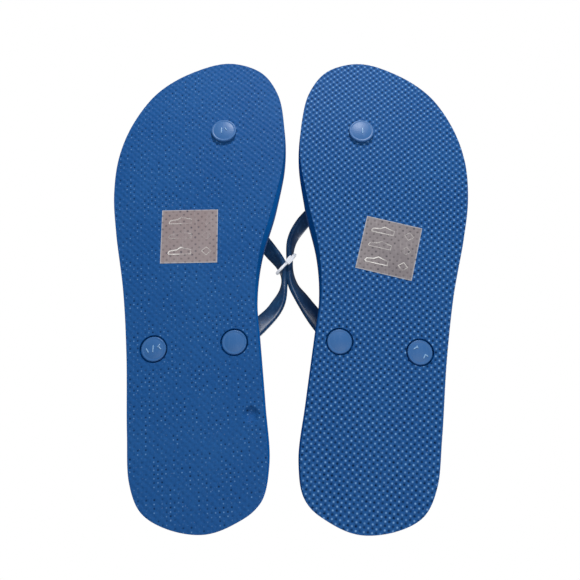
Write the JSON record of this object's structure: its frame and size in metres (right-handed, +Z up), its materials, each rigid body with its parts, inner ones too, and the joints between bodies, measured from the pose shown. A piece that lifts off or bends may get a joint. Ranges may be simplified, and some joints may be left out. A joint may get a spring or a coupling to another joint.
{
  "type": "pair of flip flops",
  "caption": "Pair of thong sandals standing on their soles, their inner strap arms held together by a closed plastic tie; each has a laminated sole, moulded strap and film label.",
  "frame": {"origin": "middle of the pair's footprint, on the floor that the soles stand on", "axes": "+Y towards the toes, +X towards the outer side of the right shoe, +Z up from the floor"},
  "size_m": [0.2014, 0.2696, 0.0512],
  "materials": {
    "tread_rubber": "matt blue foam rubber with a fine raised tread",
    "wall_rubber": "satin cut edge of blue foam rubber",
    "footbed_rubber": "matt blue foam rubber with a fine pressed grain",
    "strap_rubber": "satin moulded blue rubber",
    "label_film": null,
    "tie_plastic": "milky clear nylon"
  },
  "bodies": {
    "right_shoe": {"right_outsole": "tread_rubber", "right_midsole": "wall_rubber", "right_footbed": "footbed_rubber", "right_strap": "strap_rubber", "right_label": "label_film"},
    "tie": {"tie_loop": "tie_plastic", "tie_lock": "tie_plastic"},
    "left_shoe": {"left_outsole": "tread_rubber", "left_midsole": "wall_rubber", "left_footbed": "footbed_rubber", "left_strap": "strap_rubber", "left_label": "label_film"}
  },
  "joints": [
    {"name": "pair_swivel", "type": "hinge", "parent": "right_shoe", "child": "tie", "pos_m": [0.0025, 0.0144, 0.0433], "axis": [0, 0, 1], "range_deg": [-5, 4]},
    {"name": "pair_fold", "type": "hinge", "parent": "tie", "child": "left_shoe", "pos_m": [0.0025, 0.0144, 0.0486], "axis": [0, 1, 0], "range_deg": [0, 50], "deforming": ["tie_loop"]}
  ]
}
